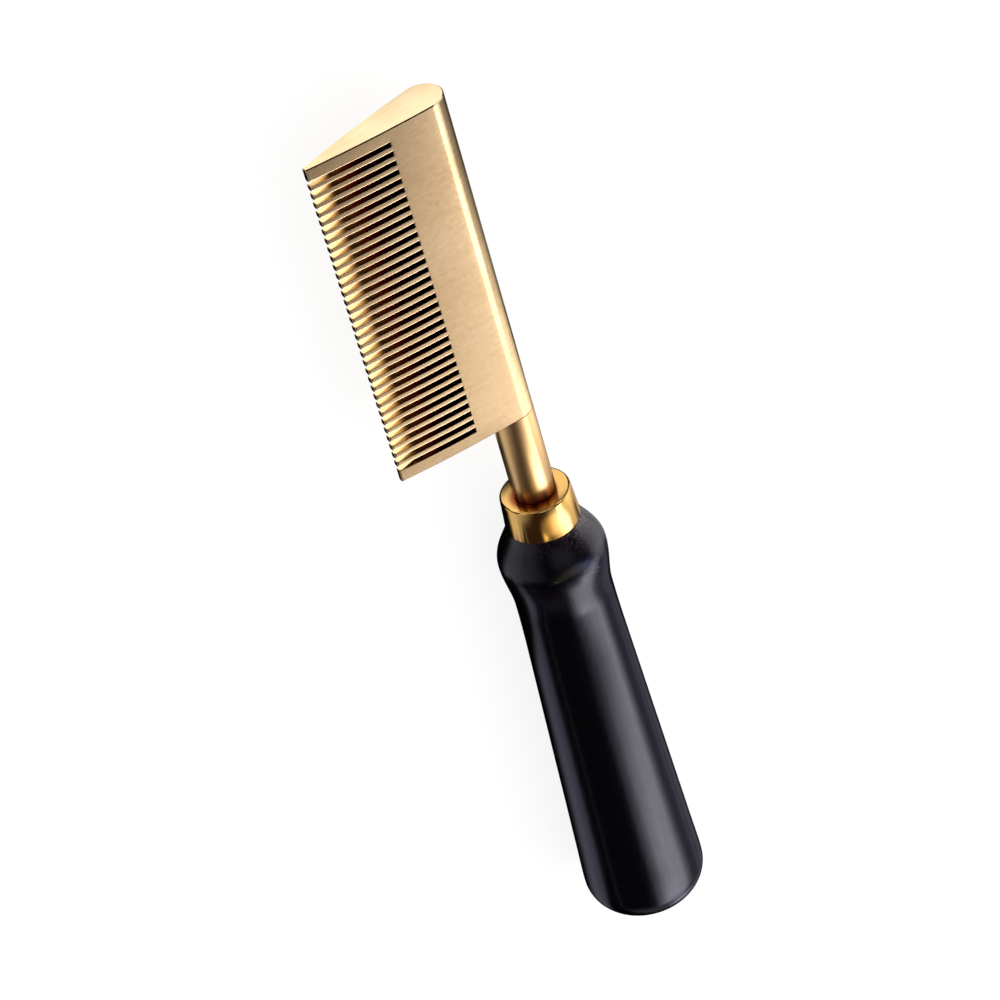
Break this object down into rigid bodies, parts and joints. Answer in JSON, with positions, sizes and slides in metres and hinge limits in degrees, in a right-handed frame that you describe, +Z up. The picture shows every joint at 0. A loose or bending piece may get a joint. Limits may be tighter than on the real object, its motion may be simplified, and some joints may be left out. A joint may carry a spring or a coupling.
{
  "type": "hot comb",
  "caption": "Stove-heated pressing comb: a solid brass comb head sawn into teeth, on a turned shank with a ferruled, black-lacquered wooden handle.",
  "frame": {"origin": "centre of the footprint, on the table that the comb lies on", "axes": "+X along the comb from head to handle, teeth towards -Y, +Z up and square to the comb's broad faces"},
  "size_m": [0.248, 0.0468, 0.0301],
  "materials": {
    "head_brass": "brushed satin",
    "shank_brass": "fine satin",
    "ferrule_brass": "polished",
    "handle_lacquer": "black satin-gloss lacquer over turned wood",
    "tang_steel": "turned"
  },
  "bodies": {
    "root": {"comb_head": "head_brass", "shank": "shank_brass", "ferrule": "ferrule_brass", "handle": "handle_lacquer", "tang": "tang_steel"}
  },
  "joints": []
}
